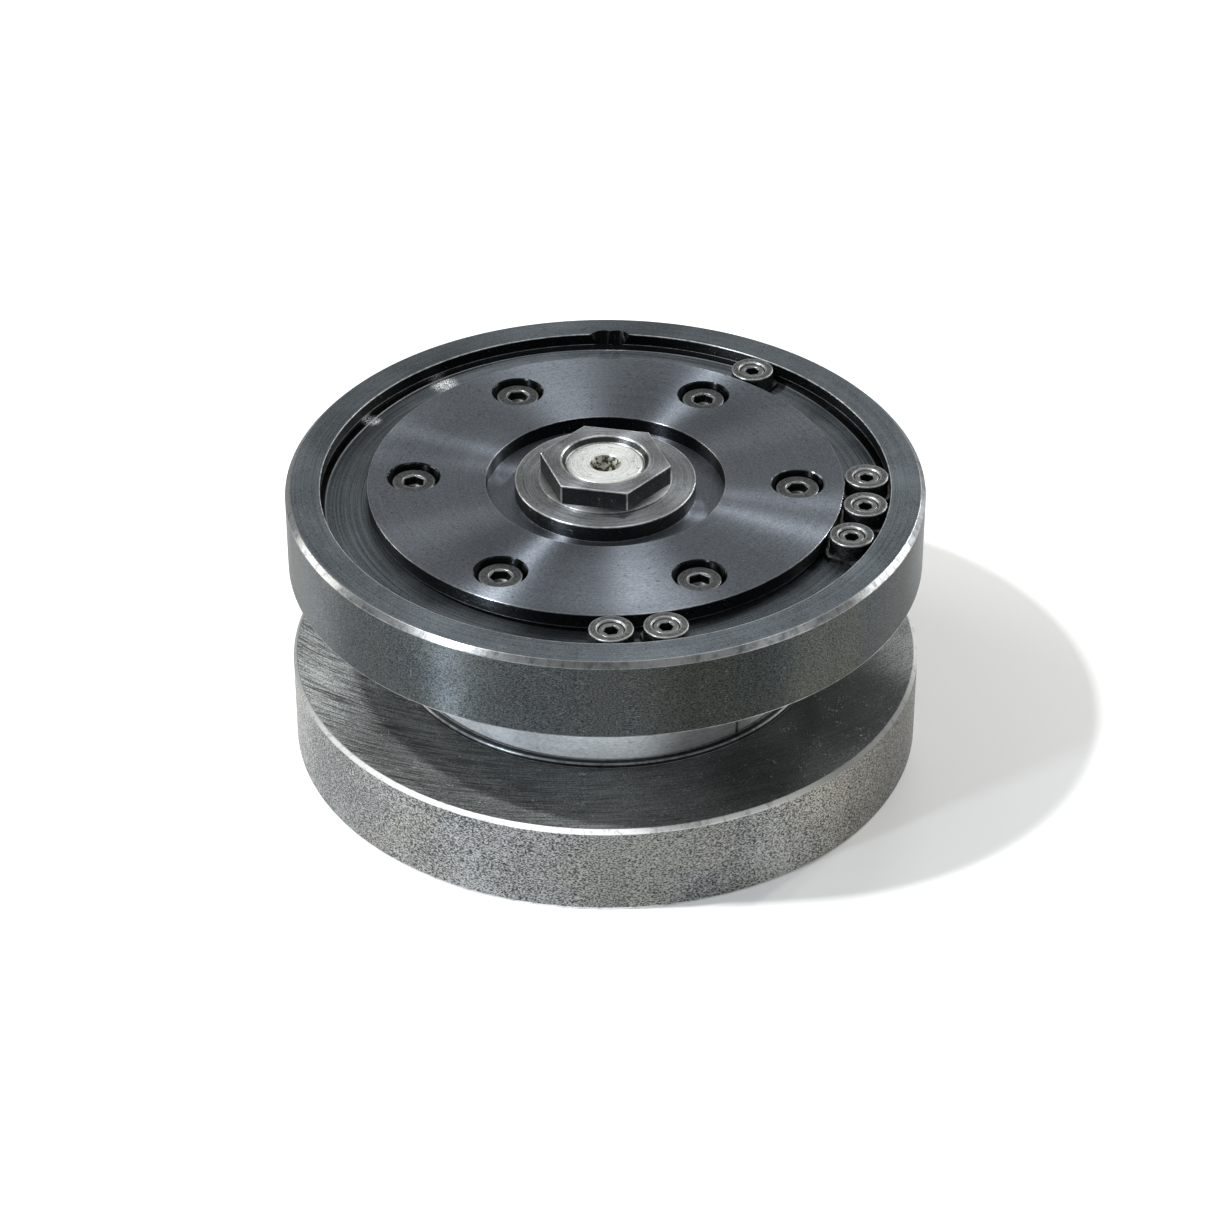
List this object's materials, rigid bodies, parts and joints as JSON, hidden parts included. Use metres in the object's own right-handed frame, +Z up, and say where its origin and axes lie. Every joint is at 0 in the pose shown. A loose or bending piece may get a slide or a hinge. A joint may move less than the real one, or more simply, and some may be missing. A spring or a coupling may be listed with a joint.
{
  "type": "banding wheel",
  "caption": "Heavy steel turntable: a balanced round head with adjustable weights in a ring groove turns on a spindle and ball bearings in a round base.",
  "frame": {"origin": "middle of the base's underside, on the spindle axis", "axes": "+Z up along the spindle axis; +X and +Y lie in the underside, with the loading notch of the balance groove 89 degrees anticlockwise from +X, which is nearly at +Y"},
  "size_m": [0.2, 0.2, 0.099],
  "materials": {
    "base_steel": "ground and lightly worn",
    "ring_steel": "dark, dull",
    "hub_steel": "bright turned",
    "head_steel": "black oxide, turned, worn bright at edges",
    "nut_steel": "black oxide with bright corners",
    "spindle_steel": "ground",
    "screw_steel": "grey, specked",
    "set_screw_steel": "black oxide",
    "weight_steel": "grey, specked",
    "housing_iron": "machined",
    "cover_steel": "plain turned",
    "bearing_steel": "ground",
    "ball_steel": "polished",
    "cage_brass": "machined"
  },
  "bodies": {
    "base": {"base_disc": "base_steel", "dust_ring": "ring_steel", "bearing_housing": "housing_iron", "housing_screws": "screw_steel", "bearing_cap": "cover_steel", "cap_screws": "screw_steel", "bottom_cover": "cover_steel", "cover_screws": "screw_steel", "lower_outer_race": "bearing_steel", "upper_outer_race": "bearing_steel", "outer_spacer": "cover_steel"},
    "head": {"hub": "hub_steel", "balance_flange": "head_steel", "clamp_plate": "head_steel", "clamp_screws": "screw_steel", "spindle_nut": "nut_steel", "spindle": "spindle_steel", "lower_inner_race": "bearing_steel", "upper_inner_race": "bearing_steel", "inner_spacer": "cover_steel", "lock_washer": "cover_steel", "lock_nut": "nut_steel"},
    "lower_balls_and_cage": {"lower_balls": "ball_steel", "lower_ball_cage": "cage_brass"},
    "upper_balls_and_cage": {"upper_balls": "ball_steel", "upper_ball_cage": "cage_brass"},
    "weight_1": {"balance_weight_1": "weight_steel"},
    "lock_screw_1": {"set_screw_1": "set_screw_steel"},
    "weight_2": {"balance_weight_2": "weight_steel"},
    "lock_screw_2": {"set_screw_2": "set_screw_steel"},
    "weight_3": {"balance_weight_3": "weight_steel"},
    "lock_screw_3": {"set_screw_3": "set_screw_steel"},
    "weight_4": {"balance_weight_4": "weight_steel"},
    "lock_screw_4": {"set_screw_4": "set_screw_steel"},
    "weight_5": {"balance_weight_5": "weight_steel"},
    "lock_screw_5": {"set_screw_5": "set_screw_steel"},
    "weight_6": {"balance_weight_6": "weight_steel"},
    "lock_screw_6": {"set_screw_6": "set_screw_steel"}
  },
  "joints": [
    {"name": "head_spin", "type": "hinge", "parent": "base", "child": "head", "pos_m": [0, 0, 0.06], "axis": [0, 0, 1], "continuous": true},
    {"name": "lower_cage_spin", "type": "hinge", "parent": "base", "child": "lower_balls_and_cage", "pos_m": [0, 0, 0.022], "axis": [0, 0, 1], "continuous": true},
    {"name": "upper_cage_spin", "type": "hinge", "parent": "base", "child": "upper_balls_and_cage", "pos_m": [0, 0, 0.048], "axis": [0, 0, 1], "continuous": true},
    {"name": "weight_1_shift", "type": "hinge", "parent": "head", "child": "weight_1", "pos_m": [0, 0, 0.085], "axis": [0, 0, 1], "range_deg": [-20, 95]},
    {"name": "weight_2_shift", "type": "hinge", "parent": "head", "child": "weight_2", "pos_m": [0, 0, 0.085], "axis": [0, 0, 1], "range_deg": [-0.6, 22]},
    {"name": "weight_3_shift", "type": "hinge", "parent": "head", "child": "weight_3", "pos_m": [0, 0, 0.085], "axis": [0, 0, 1], "range_deg": [-1, 0.6]},
    {"name": "weight_4_shift", "type": "hinge", "parent": "head", "child": "weight_4", "pos_m": [0, 0, 0.085], "axis": [0, 0, 1], "range_deg": [-24, 1]},
    {"name": "weight_5_shift", "type": "hinge", "parent": "head", "child": "weight_5", "pos_m": [0, 0, 0.085], "axis": [0, 0, 1], "range_deg": [-0.6, 18]},
    {"name": "weight_6_shift", "type": "hinge", "parent": "head", "child": "weight_6", "pos_m": [0, 0, 0.085], "axis": [0, 0, 1], "range_deg": [-95, 0.6]},
    {"name": "set_screw_1_turn", "type": "hinge", "parent": "weight_1", "child": "lock_screw_1", "pos_m": [0.04794, 0.06622, 0.088], "axis": [0, 0, 1], "range_deg": [0, 360]},
    {"name": "set_screw_2_turn", "type": "hinge", "parent": "weight_2", "child": "lock_screw_2", "pos_m": [0.08173, 0.00186, 0.088], "axis": [0, 0, 1], "range_deg": [0, 360]},
    {"name": "set_screw_3_turn", "type": "hinge", "parent": "weight_3", "child": "lock_screw_3", "pos_m": [0.08046, -0.01448, 0.088], "axis": [0, 0, 1], "range_deg": [0, 360]},
    {"name": "set_screw_4_turn", "type": "hinge", "parent": "weight_4", "child": "lock_screw_4", "pos_m": [0.07536, -0.03168, 0.088], "axis": [0, 0, 1], "range_deg": [0, 360]},
    {"name": "set_screw_5_turn", "type": "hinge", "parent": "weight_5", "child": "lock_screw_5", "pos_m": [0.01797, -0.07975, 0.088], "axis": [0, 0, 1], "range_deg": [0, 360]},
    {"name": "set_screw_6_turn", "type": "hinge", "parent": "weight_6", "child": "lock_screw_6", "pos_m": [0.00171, -0.08173, 0.088], "axis": [0, 0, 1], "range_deg": [0, 360]}
  ],
  "couplings": [
    {"joint": "lower_cage_spin", "follows": "head_spin", "ratio": 0.3965},
    {"joint": "upper_cage_spin", "follows": "head_spin", "ratio": 0.3965}
  ]
}
